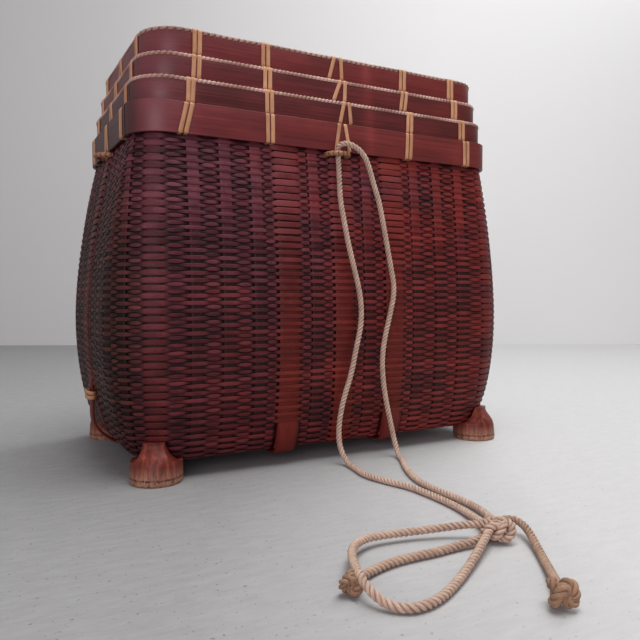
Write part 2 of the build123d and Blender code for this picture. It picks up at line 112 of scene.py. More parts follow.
class Strips:
    """Strips of one mesh. Each vertex keeps its distance along and around its strip,
    its tone, which on the weave also holds painted shade and painted highlight, and a
    second mark: ruddiness on the ribs, painted shade in the grooves of wrapped rattan,
    and brown dirt with painted shade on the rope. The materials read them."""

    def __init__(self):
        self.points, self.quads, self.marks, self.ruddiness_and_shade = [], [], [], []
        self.count = 0

    def grid(self, points, along, around, tone, ruddiness_and_shade=0.0, closed=False, capped=True):
        """A strip from its rings of points, closed on itself, capped at its ends or open."""
        rows, sides = points.shape[:2]
        self.points.append(points.reshape(-1, 3))
        marks = np.broadcast_arrays(along[:, None], around, per_ring(tone))
        self.marks.append(np.stack(marks, -1).reshape(-1, 3))
        self.ruddiness_and_shade.append(np.broadcast_to(per_ring(ruddiness_and_shade), (rows, sides)).ravel())
        here = np.arange(rows if closed else rows - 1)[:, None] * sides + np.arange(sides)
        after = (here + sides) % (rows * sides)
        quads = np.stack([here, np.roll(here, -1, 1), np.roll(after, -1, 1), after], -1)
        self.quads.append(quads.reshape(-1, 4) + self.count)
        if capped and not closed:
            low = np.arange(sides // 2)
            high = sides - 1 - low
            quads = np.stack([low[:-1], low[1:], high[1:], high[:-1]], -1) + self.count
            self.quads += [quads, quads[:, ::-1] + (rows - 1) * sides]
        self.count += rows * sides

    def sweep(self, line, across, out, section, tone, ruddiness_and_shade=0.0, closed=False):
        """A section of (across, out) pairs carried along a line. The section and the two
        directions are one for all or one per point."""
        section = np.broadcast_to(section, (len(line),) + np.shape(section)[-2:])
        across = np.broadcast_to(across, line.shape)[:, None, :]
        out = np.broadcast_to(out, line.shape)[:, None, :]
        spread = section[..., 0:1] * across + section[..., 1:2] * out
        steps = np.diff(section[0], axis=0, prepend=section[0][-1:])
        around = np.cumsum(np.linalg.norm(steps, axis=1))
        self.grid(line[:, None, :] + spread, runs(line), around, tone, ruddiness_and_shade, closed)

    def build(self, name, slot, *replaced, body="basket"):
        """Makes the mesh, in metres, with its slot's look, and hangs it on its body."""
        points = np.concatenate(self.points) * MM
        quads = np.concatenate(self.quads).astype(np.int32)
        mesh = bpy.data.meshes.new(name)
        mesh.vertices.add(len(points))
        mesh.vertices.foreach_set("co", points.astype(np.float32).ravel())
        mesh.loops.add(quads.size)
        mesh.loops.foreach_set("vertex_index", quads.ravel())
        mesh.polygons.add(len(quads))
        mesh.polygons.foreach_set("loop_start", np.arange(0, quads.size, 4, dtype=np.int32))
        mesh.update(calc_edges=True)
        strand = mesh.attributes.new("strand", "FLOAT_VECTOR", "POINT")
        strand.data.foreach_set("vector", np.concatenate(self.marks).astype(np.float32).ravel())
        ruddiness_and_shade = mesh.attributes.new("ruddiness_and_shade", "FLOAT", "POINT")
        ruddiness_and_shade.data.foreach_set("value", np.concatenate(self.ruddiness_and_shade).astype(np.float32))
        mesh.shade_smooth()
        mesh.materials.append(LOOKS[slot])
        piece = placed(name, mesh)
        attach(piece, body)
        if replaced:
            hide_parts(*replaced)
        return piece


def flat_section(width, thickness, crown=0.35):
    """Six (across, out) pairs of a strip with a crowned outer face."""
    half = width / 2
    shoulder = thickness * (0.5 - crown)
    return np.array(
        [(-half, shoulder), (-0.6 * half, thickness / 2), (0.6 * half, thickness / 2),
         (half, shoulder), (0.85 * half, -thickness / 2), (-0.85 * half, -thickness / 2)]
    )


def smooth_line(points, step):
    """A curve through the points, sampled about every step."""
    points = np.asarray(points, float)
    ends = np.concatenate([[2 * points[0] - points[1]], points, [2 * points[-1] - points[-2]]])
    line = []
    for before, here, after, beyond in zip(*(ends[skip:] for skip in range(4))):
        count = max(int(np.linalg.norm(after - here) / step), 2)
        t = np.linspace(0, 1, count, endpoint=False)[:, None]
        square = (2 * before - 5 * here + 4 * after - beyond) * t**2
        cube = (3 * here - before - 3 * after + beyond) * t**3
        line.append(0.5 * (2 * here + (after - before) * t + square + cube))
    return np.concatenate(line + [points[-1:]])


def turning_frame(line):
    """Two directions square to a line that turn as little as they can along it."""
    tangents = tangents_of(line)
    first = np.empty_like(line)
    side = UP
    for index, tangent in enumerate(tangents):
        side = side - tangent * (side @ tangent)
        side = side / np.linalg.norm(side)
        first[index] = side
    return first, np.cross(tangents, first)


def outward(out, line, centre):
    """A direction along a line, turned to point away from a centre."""
    return out * np.sign(np.sum(out * (line - centre), axis=1).sum())


# ---- plans

# Stakes in a quarter of the way round, and how many of them stand evenly on the front
QUARTER = 22
FRONT_STAKES = 11
FRONT_PITCH = 11.25
AROUND = 4 * QUARTER


def wall_plan(height):
    """Outer half width, half depth and corner of the woven wall at a height."""
    rise = np.clip((height - BELLY_HEIGHT) / (RIM_BOTTOM - BELLY_HEIGHT), 0, 1)
    fall = np.clip((BELLY_HEIGHT - height) / (BELLY_HEIGHT - BASE_HEIGHT), 0, 1)
    swell = 1 - rise**NECK_POWER
    draw_in = 1 - np.sqrt(np.maximum(1 - fall**2, 0))
    return [n + swell * s - draw_in * d for n, s, d in zip(NECK, SWELL, DRAW)]


def smaller(plan, distance):
    """A plan moved in by a distance."""
    return tuple(size - distance for size in plan)


def quarter_length(plan):
    """A quarter of the way round a rounded rectangle."""
    half_width, half_depth, corner = plan
    return half_width + half_depth + (math.pi / 2 - 2) * corner


def on_plan(plan, run, side_x, side_y, height):
    """Points on a rounded rectangle at runs along a quarter of it, at a height."""
    half_width, half_depth, corner = plan
    straight = half_width - corner
    angle = np.clip((run - straight) / corner, 0, math.pi / 2)
    past = np.maximum(run - straight - math.pi / 2 * corner, 0)
    x = np.minimum(run, straight) + corner * np.sin(angle)
    y = half_depth - corner + corner * np.cos(angle) - past
    return np.stack([side_x * x, side_y * y, np.broadcast_to(height, x.shape)], -1)


def quadrant(place):
    """A place, counted in stakes from the front's middle, within its own quarter, and
    the quarter's two signs."""
    place = np.mod(place, AROUND)
    local = np.abs(np.mod(place + QUARTER, 2 * QUARTER) - QUARTER)
    side_x = np.where(place < 2 * QUARTER, -1.0, 1.0)
    side_y = np.where((place < QUARTER) | (place > 3 * QUARTER), -1.0, 1.0)
    return local, side_x, side_y


def wall_surface(place, height):
    """Points of the wall's outer face at places around it and one height."""
    local, side_x, side_y = quadrant(place)
    plan = wall_plan(height)
    length = quarter_length(plan)
    front = FRONT_PITCH * FRONT_STAKES
    beyond = (length - front) * (local - FRONT_STAKES) / (QUARTER - FRONT_STAKES)
    run = np.where(local <= FRONT_STAKES, FRONT_PITCH * local, front + beyond)
    return on_plan(plan, run, side_x, side_y, height)


def straight_surface(plan):
    """The same for an upright wall with one plan."""

    def surface(place, height):
        local, side_x, side_y = quadrant(place)
        return on_plan(plan, quarter_length(plan) * local / QUARTER, side_x, side_y, height)

    return surface


# How far up the wall the slope of it is taken
SLOPE_STEP = 0.8


def directions(surface, place, low):
    """Unit vectors up the wall and out of it, at places just above a height."""
    up = unit(surface(place, low + SLOPE_STEP) - surface(place, low))
    middle = (low + (low + SLOPE_STEP)) / 2
    ahead = surface(place + 0.05, middle) - surface(place - 0.05, middle)
    return up, unit(np.cross(up, ahead))


def upper_part(height):
    """0 on the lower half of the wall, rising to 1 towards its top."""
    return np.clip((height - 140.0) / 50.0, 0.0, 1.0)


def heights_down(high, pitch):
    """Heights down to the base with about a pitch of wall between them."""
    fine = np.linspace(high, BASE_HEIGHT, 800)
    run = runs(np.array([(sum(wall_plan(height)[:2]) / 2, height) for height in fine]))
    return np.interp(np.arange(pitch / 2, run[-1], pitch), run, fine)


# ---- stakes and weave

# By place in a quarter: half widths of the stakes that have their own, and stakes off
# the even spacing. The others are flat at even places and thin at odd ones.
OWN_HALVES = {0: 7.6, 4: 7.8, 12: 5.8, 14: 3.0, 22: 7.0}
MOVED_STAKES = {
    1: 1.18, 3: 2.75, 5: 5.22, 11: 11.3, 12: 12.62, 13: 13.7, 14: 14.65, 15: 15.35, 21: 20.8
}
CORNER_STAKE = 12
FLAT_HALF = 4.0
THIN_HALF = 1.2
STAKE_PITCH = 11.0
THIN_STAKE_INSET = 0.9


def stake_table():
    """Place and half width of every stake round the basket."""
    places, halves = [], []
    for index in range(AROUND):
        local = int(quadrant(index)[0])
        shift = MOVED_STAKES.get(local, local) - local
        rising = (index // QUARTER) % 2 == 0
        places.append(index + (shift if rising else -shift))
        halves.append(OWN_HALVES.get(local, THIN_HALF if local % 2 else FLAT_HALF))
    return np.array(places), np.array(halves)


STAKES = np.arange(AROUND)
PLACES, HALVES = stake_table()
THIN = HALVES == THIN_HALF
CORNERS = HALVES == OWN_HALVES[CORNER_STAKE]
RIBS = (HALVES > FLAT_HALF) & ~CORNERS
RUDDY = np.where(RIBS, 1.0, np.where(CORNERS, 0.35, 0.1))
KIND = np.where(RIBS, 2, np.where(THIN, 1, 0))

# How far out a row's middle lies and how tall the row is, over and under flat stakes,
# thin ones and ribs
WALL_LEVELS = np.array([[-0.5, -0.4, 0.3], [-2.0, -1.1, -2.1]])
WALL_TALLS = np.array([[2.9, 2.8, 2.9], [1.2, 2.2, 1.2]])
UPPER_TALLS = np.array([[-0.4, 0.0, 1.5], [0.0, 0.0, 0.0]])
SKIRT_LEVELS = np.array([[-0.4, -0.4, -0.4], [-1.4, -1.1, -1.4]])
SKIRT_TALLS = np.array([[2.9, 2.9, 2.9], [2.3, 2.5, 2.3]])
CORNER_TALL = 4.1
ROW_PITCH = 2.5
SKIRT_ROW_PITCH = 2.7

# The section of a woven strip, nearly flat with narrow soft edges, and the painted
# light on each of its vertices: a painted highlight on the crown, painted shade on the
# edges and on the back
STRIP_THICKNESS = 0.6
STRIP_SHAPE = np.array(
    [(-0.5, 0.1), (-0.46, 0.4), (-0.3, 0.5), (0.3, 0.5),
     (0.46, 0.4), (0.5, 0.1), (0.4, -0.5), (-0.4, -0.5)]
)
STRIP_PAINTED_LIGHT = np.array([-0.5, -0.12, 0.10, 0.14, -0.08, -0.4, -0.35, -0.35])
# How late a row reaches a flat stake and how soon it leaves one
CROSSING_POWER = 1.7
# Rows that lie deeper than this get painted shade, darker the deeper they lie
SHADOW_LEVEL = -0.7

# Below these heights a cross rib, a foot's tongue and a side's rib are outside the weave
OUTSIDE = {4: 31.0, CORNER_STAKE: 26.5, QUARTER: 55.0}


def wall_hidden(height):
    """The stakes that the rows pass inside at a height."""
    return np.isin(quadrant(STAKES)[0], [s for s, top in OUTSIDE.items() if height < top])


def row_samples(steps):
    """Places to sample along a row, with the stake before each one and how far the row
    has crossed to the stake after it."""
    sample = []
    for index, (place, half) in enumerate(zip(PLACES, HALVES)):
        after = (index + 1) % AROUND
        beyond = PLACES[after] + (0 if after else AROUND)
        start = place + half / STAKE_PITCH
        end = beyond - HALVES[after] / STAKE_PITCH
        if half > THIN_HALF:
            sample.append((place, index, 0.0))
        for share in np.linspace(0, 1, steps):
            sample.append((start + (end - start) * share, index, share))
    places, before, cross = zip(*sample)
    return np.array(places), np.array(before), np.array(cross)


def weave_rows(strips, surface, heights, steps):
    """Rows of flat strips that pass over and under the stakes."""
    on_wall = surface is wall_surface
    sample, before, cross = row_samples(steps)
    after = (before + 1) % AROUND
    quick = np.where(THIN[before], cross**CROSSING_POWER, 1 - (1 - cross) ** CROSSING_POWER)

    def carried(at_stakes, share):
        return at_stakes[before] * (1 - share) + at_stakes[after] * share

    for number, height in enumerate(heights):
        over = (STAKES + number) % 2 == 0
        low = height - SLOPE_STEP / 2
        levels, talls = SKIRT_LEVELS, SKIRT_TALLS
        if on_wall:
            over = over & ~wall_hidden(height)
            low = max(low, BASE_HEIGHT)
            levels, talls = WALL_LEVELS, WALL_TALLS + UPPER_TALLS * upper_part(height)
        tall_at = np.where(over, talls[0][KIND], talls[1][KIND])
        tall_at[over & CORNERS] = CORNER_TALL
        out_by = carried(np.where(over, levels[0][KIND], levels[1][KIND]), quick)
        on_rib = carried(RUDDY * over, cross)
        wobble = 0.1 * np.sin(sample * 0.37 + number * 2.1) + 0.07 * np.sin(sample * 1.3 + number)
        up, out = directions(surface, sample, low)
        line = surface(sample, height) + out * out_by[:, None] + up * wobble[:, None]
        shades = rng.uniform(-0.32, 0.32, AROUND + 2)
        tone = rng.uniform(0.38, 0.72) + np.interp(sample, np.arange(AROUND + 2), shades)
        # Painted shade on rows that dive deep under the stakes
        tone = tone - np.clip((SHADOW_LEVEL - out_by) * 1.3, 0.0, 0.8)
        tone = tone + 0.3 * on_rib * upper_part(height)
        widths = STRIP_SHAPE[:, 0] * carried(tall_at, cross)[:, None]
        depths = np.broadcast_to(STRIP_SHAPE[:, 1] * STRIP_THICKNESS, widths.shape)
        section = np.stack([widths, depths], -1)
        # Painted highlight on each strip's crown, painted shade on its edges and back
        strips.sweep(line, up, out, section, tone[:, None] + STRIP_PAINTED_LIGHT, on_rib, closed=True)


def stakes_up(strips, surface, heights, depth, thickness):
    """The upright strips that the rows pass round. The basket's ribs lie further out
    and are painted darker upwards, as painted shade in the gaps between the strips over
    them, where the other stakes grow lighter."""
    shares = np.array([-1.0, -0.5, 0.0, 0.5, 1.0])
    for index, (place, half) in enumerate(zip(PLACES, HALVES)):
        free = RIBS[index] and surface is wall_surface
        inset = depth + THIN_STAKE_INSET if THIN[index] else depth
        across = place + shares * half / STAKE_PITCH
        rings = []
        for height in heights:
            up, out = directions(surface, across, height)
            deep = 0.3 + 0.8 * upper_part(height) if free else inset
            face = surface(across, height) - out * deep
            rings.append(np.concatenate([face, (face - out * thickness)[::-1]]))
        rings = np.array(rings)
        around = np.concatenate([half * (shares + 1), half * (3 - shares[::-1])])
        # Ribs get painted shade that deepens upwards; the other stakes grow lighter upwards
        low_tone, high_tone = (0.0, -1.0) if free else (-0.9, 0.4)
        change = low_tone + (high_tone - low_tone) * upper_part(heights)
        tone = rng.uniform(0.55, 0.75) + change
        strips.grid(rings, runs(rings[:, 2]), around, tone, RUDDY[index])


PLAIT_PITCH = 5.0


def plait(strips, plan, height, wave, thickness):
    """A flat plaited panel that fills a rounded rectangle."""
    half_width, half_depth, corner = plan
    section = flat_section(0.94 * PLAIT_PITCH, thickness)
    for along, across, turn in ((half_width, half_depth, 0), (half_depth, half_width, 1)):
        count = int(across / PLAIT_PITCH)
        for number in range(-count, count + 1):
            offset = number * PLAIT_PITCH
            past = max(abs(offset) - (across - corner), 0)
            reach = along - corner + math.sqrt(max(corner**2 - past**2, 0)) - 0.3
            run = np.append(np.arange(-reach, reach, PLAIT_PITCH / 3), reach)
            rise = wave * np.cos(math.pi * (run / PLAIT_PITCH + number + turn))
            line = np.stack([run, np.full_like(run, offset), height + rise], -1)
            if turn:
                line = line[:, [1, 0, 2]]
            strips.sweep(line, RIGHT if turn else BACK, UP, section, rng.uniform(0.2, 0.8))


# ---- materials


class Look:
    """A material in the making: its node tree and its Principled shader."""

    def __init__(self, name):
        self.material = bpy.data.materials.new(name)
        self.material.use_nodes = True
        self.tree = self.material.node_tree
        self.tree.nodes.clear()
        self.shader = self.node("ShaderNodeBsdfPrincipled")
        self.node("ShaderNodeOutputMaterial", self.shader.outputs["BSDF"])

    def feed(self, target, value):
        """Sets a socket to a number or colour, or links an output to it."""
        if isinstance(value, bpy.types.NodeSocket):
            self.tree.links.new(value, target)
        elif isinstance(value, tuple) and len(value) == 3 and target.type == "RGBA":
            target.default_value = (*value, 1.0)
        else:
            target.default_value = value

    def node(self, kind, *values):
        """A node with its first inputs fed."""
        node = self.tree.nodes.new(kind)
        for socket, value in zip(node.inputs, values):
            self.feed(socket, value)
        return node

    def maths(self, operation, first, second, clamp=False):
        node = self.node("ShaderNodeMath", first, second)
        node.operation = operation
        node.use_clamp = clamp
        return node.outputs[0]

    def times(self, first, second):
        return self.maths("MULTIPLY", first, second)

    def total(self, *terms, clamp=False):
        """The sum of values times weights. A third number is taken off the value first."""
        result = None
        for value, weight, *off in terms:
            if off:
                value = self.maths("SUBTRACT", value, off[0])
            value = self.times(value, weight)
            result = value if result is None else self.maths("ADD", result, value)
        result.node.use_clamp = clamp
        return result

    def share(self, value, low, high):
        """0 where a value is low, rising to 1 where it is high."""
        return self.maths("DIVIDE", self.maths("SUBTRACT", value, low), high - low, clamp=True)

    def vector_maths(self, operation, first, second):
        node = self.node("ShaderNodeVectorMath", first, second)
        node.operation = operation
        return node

    def noise(self, vector, scale, detail, rough=0.55):
        """Noise over a vector, at one scale or at three, one per axis."""
        if isinstance(scale, tuple):
            vector = self.vector_maths("MULTIPLY", vector, scale).outputs[0]
            scale = 1.0
        node = self.node("ShaderNodeTexNoise", vector)
        node.inputs["Scale"].default_value = scale
        node.inputs["Detail"].default_value = detail
        node.inputs["Roughness"].default_value = rough
        return node.outputs["Fac"]

    def ramp(self, value, places, *colours):
        """Colours or greys at places from 0 to 1."""
        node = self.node("ShaderNodeValToRGB", value)
        elements = node.color_ramp.elements
        while len(elements) < len(places):
            elements.new(0.5)
        for element, place, colour in zip(elements, places, colours):
            element.position = place
            element.color = (*colour, 1.0) if isinstance(colour, tuple) else (*[colour] * 3, 1.0)
        return node.outputs["Color"]

    def mix(self, factor, first, second):
        node = self.node("ShaderNodeMix", factor)
        node.data_type = "RGBA"
        self.feed(node.inputs[6], first)
        self.feed(node.inputs[7], second)
        return node.outputs[2]

    def attribute(self, name):
        node = self.node("ShaderNodeAttribute")
        node.attribute_name = name
        return node.outputs

    def strand(self):
        """The strips' own coordinates, their tone and their mark of ruddiness and painted shade.
        """
        marks = self.attribute("strand")["Vector"]
        tone = self.node("ShaderNodeSeparateXYZ", marks).outputs[2]
        return marks, tone, self.attribute("ruddiness_and_shade")["Fac"]

    def place(self):
        """Places on the object, and their x and z."""
        place = self.node("ShaderNodeTexCoord").outputs["Object"]
        parts = self.node("ShaderNodeSeparateXYZ", place).outputs
        return place, parts[0], parts[2]

    def bump(self, height, strength, distance):
        node = self.node("ShaderNodeBump")
        node.inputs["Strength"].default_value = strength
        node.inputs["Distance"].default_value = distance
        self.feed(node.inputs["Height"], height)
        self.feed(self.shader.inputs["Normal"], node.outputs["Normal"])

    def made(self, colour, roughness, specular):
        self.feed(self.shader.inputs["Base Color"], colour)
        self.feed(self.shader.inputs["Roughness"], roughness)
        self.shader.inputs["Specular IOR Level"].default_value = specular
        return self.material


def weave_material():
    look = Look("lacquered_weave")
    strand, tone, ruddiness_and_shade = look.strand()
    place, x, z = look.place()
    leftward = look.times(x, -1.0)
    fibres = look.noise(strand, (0.05, 2.2, 41.0), 4.0)
    patches = look.noise(place, (16.0, 16.0, 30.0), 2.0)
    blotches = look.noise(strand, (0.08, 0.2, 17.0), 2.0)
    shade = look.total(
        (tone, 0.5), (fibres, 0.25), (patches, 0.45, 0.4), (blotches, 0.35, 0.5), clamp=True
    )
    # Colours of the lacquer from the darkest shade to the lightest
    shades = (0.12, 0.45, 0.8)
    purple = ((0.02, 0.004, 0.006), (0.086, 0.019, 0.03), (0.19, 0.058, 0.08))
    deep = ((0.014, 0.002, 0.003), (0.07, 0.009, 0.013), (0.155, 0.028, 0.036))
    red = ((0.03, 0.003, 0.003), (0.13, 0.011, 0.01), (0.235, 0.03, 0.026))
    rib = ((0.06, 0.005, 0.003), (0.122, 0.011, 0.007), (0.2, 0.026, 0.016))
    purple, deep, red, rib = (look.ramp(shade, shades, *c) for c in (purple, deep, red, rib))
    painted_dark_side = look.ramp(shade, (0.15, 0.8), (0.003, 0.001, 0.001), (0.105, 0.03, 0.019))
    # Deeper lower down, redder to the right and in patches, with painted shade on the
    # left flank, less of it where a rib crosses
    left_colour = look.mix(look.ramp(z, (0.09, 0.2), 0.9, 0.0), purple, deep)
    patched = look.total((patches, 2.4, 0.55))
    hue = look.maths("ADD", look.share(x, -0.13, 0.08), patched, clamp=True)
    colour = look.mix(hue, left_colour, red)
    lower = look.ramp(z, (0.06, 0.2), 1.0, 0.35)
    colour = look.mix(look.times(ruddiness_and_shade, lower), colour, rib)
    # Painted shade on the left flank
    side_shade_mask = look.ramp(leftward, (0.146, 0.16), 0.0, 0.85)
    uncovered = look.maths("SUBTRACT", 1.0, look.times(ruddiness_and_shade, 0.55))
    colour = look.mix(look.times(side_shade_mask, uncovered), colour, painted_dark_side)
    look.bump(fibres, 0.3, 0.0003)
    return look.made(colour, look.ramp(fibres, (0.2, 0.8), 0.42, 0.6), 0.22)


def band_material():
    look = Look("lacquered_band")
    tone = look.strand()[1]
    place, x, z = look.place()
    leftward = look.times(x, -1.0)
    grain = look.noise(place, (7.0, 7.0, 900.0), 5.0, 0.65)
    fine = look.noise(place, (25.0, 25.0, 2600.0), 3.0)
    cloud = look.noise(place, (26.0, 26.0, 70.0), 3.0)
    shade = look.total(
        (grain, 0.55), (fine, 0.25), (cloud, 0.55, 0.5), (tone, 0.35, 0.5), clamp=True
    )
    shades = (0.15, 0.45, 0.75)
    dark = ((0.065, 0.006, 0.008), (0.15, 0.018, 0.022), (0.25, 0.042, 0.048))
    warm = ((0.075, 0.006, 0.005), (0.175, 0.018, 0.014), (0.27, 0.04, 0.03))
    dark, warm = look.ramp(shade, shades, *dark), look.ramp(shade, shades, *warm)
    # Painted sheen near the left corner, and painted shade on the left flank
    corner = look.ramp(leftward, (0.105, 0.138), 0.0, 0.4)
    side_shade_mask = look.ramp(leftward, (0.143, 0.15), 0.0, 0.8)
    colour = look.mix(look.share(x, -0.16, 0.16), dark, warm)
    colour = look.mix(corner, colour, (0.25, 0.085, 0.1))
    colour = look.mix(side_shade_mask, colour, (0.034, 0.011, 0.011))
    look.bump(grain, 0.25, 0.0004)
    return look.made(colour, look.ramp(grain, (0.2, 0.8), 0.36, 0.52), 0.4)


def rattan_material(name, pale, deep, roughness):
    look = Look(name)
    strand, tone, ruddiness_and_shade = look.strand()
    fibres = look.noise(strand, (0.09, 3.4, 29.0), 4.0)
    stain = look.noise(strand, (0.1, 0.25, 13.0), 2.0)
    shade = look.total((fibres, 0.45), (stain, 0.4), (tone, 0.3, 0.5), clamp=True)
    rattan = look.ramp(shade, (0.2, 0.62), deep, pale)
    look.bump(fibres, 0.3, 0.0003)
    # The second mark darkens the rattan: painted shade in the grooves of the wraps
    return look.made(look.mix(ruddiness_and_shade, rattan, (0.035, 0.012, 0.009)), roughness, 0.3)


def rope_material():
    look = Look("laid_rope")
    strand, tone, ruddiness_and_shade = look.strand()
    yarns = look.noise(strand, (0.5, 4.0, 23.0), 4.0)
    stain = look.noise(strand, (0.05, 0.1, 3.0), 2.0)
    shade = look.total((yarns, 0.6), (stain, 0.4))
    pale = look.ramp(shade, (0.3, 0.62), (0.32, 0.21, 0.155), (0.72, 0.535, 0.43))
    brown = look.ramp(shade, (0.3, 0.62), (0.13, 0.065, 0.036), (0.42, 0.25, 0.155))
    look.bump(yarns, 0.5, 0.0004)
    return look.made(look.mix(ruddiness_and_shade, pale, brown), 0.75, 0.5)


def foot_material():
    look = Look("culm_foot")
    place, x, z = look.place()
    grain = look.noise(place, (420.0, 420.0, 22.0), 5.0, 0.6)
    cloud = look.noise(place, 90.0, 3.0)
    pits = look.noise(place, (900.0, 900.0, 500.0), 2.0)
    shade = look.total((grain, 0.75), (cloud, 0.3))
    wood = ((0.06, 0.009, 0.006), (0.15, 0.024, 0.015), (0.3, 0.072, 0.044))
    wood = look.ramp(shade, (0.32, 0.52, 0.72), *wood)
    worn = look.ramp(shade, (0.3, 0.65), (0.16, 0.05, 0.03), (0.58, 0.33, 0.21))
    # Worn pale and pitted next to the floor, with a dark groove above it
    low = look.maths("ADD", z, look.times(cloud, 0.006))
    wear = look.ramp(look.times(low, 10.0), (0.04, 0.15), 0.85, 0.0)
    groove = look.ramp(look.times(z, 10.0), (0.034, 0.044, 0.054), 0.0, 0.7, 0.0)
    pitted = look.times(look.ramp(pits, (0.5, 0.6), 0.0, 0.75), wear)
    hollow = look.maths("ADD", groove, pitted, clamp=True)
    colour = look.mix(hollow, look.mix(wear, wood, worn), (0.035, 0.012, 0.008))
    look.bump(grain, 0.4, 0.0005)
    return look.made(colour, look.ramp(grain, (0.3, 0.7), 0.38, 0.6), 0.3)


LACQUERED_WEAVE = weave_material()
# What each slot looks like
LOOKS = {
    "bamboo_weave": LACQUERED_WEAVE,
    "bamboo_rib": LACQUERED_WEAVE,
    "bamboo_band": band_material(),
    "rattan": rattan_material("rattan_lashing", (0.66, 0.36, 0.2), (0.34, 0.15, 0.075), 0.42),
    "rattan_edge": rattan_material("rattan_edge", (0.66, 0.43, 0.36), (0.27, 0.13, 0.095), 0.5),
    "cord": rope_material(),
    "culm_foot": foot_material(),
}

# ---- body weave


def core_layer(name, high, rows, depth, tone, wave):
    """A closed layer between or behind the strips. A wave swells it at every other
    crossing of its rows and stakes."""
    core = Strips()
    around = np.arange(0, AROUND, 0.5)
    heights = np.linspace(high, BASE_HEIGHT, rows)
    rings = []
    for number, height in enumerate(heights):
        up, out = directions(wall_surface, around, height)
        swell = wave * np.cos(math.pi * (around + number))
        rings.append(wall_surface(around, height) - out * (depth + swell)[:, None])
    rings = np.array(rings)
    core.grid(rings, heights - heights[-1], around * STAKE_PITCH, tone, capped=False)
    core.build(name, "bamboo_weave")


wall = Strips()
weave_rows(wall, wall_surface, heights_down(RIM_BOTTOM - 0.6, ROW_PITCH), 7)
woven_nodes = ("body_weave", "centre_rib_front", "centre_rib_back")
wall.build("woven_body", "bamboo_weave", *woven_nodes)

stakes = Strips()
stakes_up(stakes, wall_surface, heights_down(RIM_BOTTOM + 12.0, 5.0), 0.85, 0.8)
stakes.build("body_stakes", "bamboo_weave")

# The core is dark: painted shade seen through the gaps of the weave
core_layer("weave_shade_core", RIM_BOTTOM + 8.0, 45, 1.74, -0.6, 0.0)
core_layer("weave_lining", RIM_BOTTOM - 1.0, 90, 2.55, 0.5, 0.3)

base = Strips()
plait(base, smaller(wall_plan(BASE_HEIGHT), 1.0), BASE_HEIGHT + 1.4, 0.5, 0.7)
base.build("plaited_base", "bamboo_weave", "base_weave")

# ---- ribs outside the weave


def rib_over(axis, place, heights, distances, under):
    """A rib's line down one end of an axis, 0 or 1, under the base and up the other end,
    at a place on the other axis."""
    points = [(wall_plan(height)[axis] + off, height) for height, off in zip(heights, distances)]
    flat = smooth_line(points + under, 1.5)
    halves = []
    for sign in (-1.0, 1.0):
        half = np.stack([sign * flat[:, 0], np.full(len(flat), place), flat[:, 1]], -1)
        halves.append(half[:, [1, 0, 2]] if axis else half)
    return np.concatenate([halves[0], halves[1][::-1][1:]])


def add_rib(strips, line, across, width, thickness, tone):
    out = unit(np.cross(across, tangents_of(line)))
    out = outward(out, line, line.mean(0) + 40.0 * UP)
    strips.sweep(line, across, out, flat_section(width, thickness, 0.25), tone, 1.0)


CROSS_RIB_PLACE = 45.0
CROSS_RIB_WIDTH = 17.0
LONG_RIB_WIDTH = 13.5
UNDER_CROSS = 9.0
UNDER_LONG = 11.0
fold_x, fold_y = wall_plan(BASE_HEIGHT)[:2]

ribs = Strips()
heights = (44.0, 36.0, 30.0, 25.0, 18.0)
under = [(fold_y - past, UNDER_CROSS) for past in (5.0, 30.0, fold_y)]
under = [(fold_y + 2.0, UNDER_CROSS + 1.6), *under]
for place in (-CROSS_RIB_PLACE, CROSS_RIB_PLACE):
    line = rib_over(1, place, heights, (-1.3, -1.0, 0.4, 1.0, 1.1), under)
    add_rib(ribs, line, RIGHT, CROSS_RIB_WIDTH, 1.5, 0.6)
ribs.build("cross_ribs", "bamboo_rib", "cross_rib_left", "cross_rib_right")

long_rib = Strips()
under = [(fold_x - past, UNDER_LONG) for past in (4.0, 30.0, fold_x)]
under = [(wall_plan(24.0)[0] + 8.2, 29.0), (fold_x + 9.0, 15.5), *under]
line = rib_over(0, 0.0, (74.0, 64.0, 57.0, 50.0), (-1.2, -0.6, 0.9, 1.4), under)
add_rib(long_rib, line, -BACK, LONG_RIB_WIDTH, 1.8, 0.7)
long_rib.build("long_rib_strip", "bamboo_rib", "long_rib")

# ---- bands of the stack

# Where the scarf is from the left side's back end and the node from the front's middle
SCARF_RUN = 25.0
HOOP_NODE = -26.0


def ring_places(plan, step, start=0.0):
    """Points, directions out and runs, all round a plan from a start run."""
    quarter = quarter_length(plan)
    count = int(4 * quarter / step)
    run = start + np.linspace(0, 4 * quarter, count, endpoint=False)
    place = np.mod(run / quarter * QUARTER, AROUND)
    surface = straight_surface(plan)
    points = surface(place, 0.0)
    ahead = unit(surface(place + 0.02, 0.0) - surface(place - 0.02, 0.0))
    out = np.stack([-ahead[:, 1], ahead[:, 0], ahead[:, 2]], -1)
    return points, out * np.sign(np.sum(out * points, axis=1))[:, None], run


def band_section(height, thickness, soft):
    """A tall flat band with softened edges, as (up, out) pairs."""
    top = height / 2
    face = thickness / 2
    edge = [(top - 1.2 * soft, face), (top - 0.4 * soft, face - 0.25 * soft)]
    upper = edge + [(top, face - soft)]
    lower = [(-up, out) for up, out in upper[::-1]]
    return np.array(lower + upper + [(top, -face), (-top, -face)])


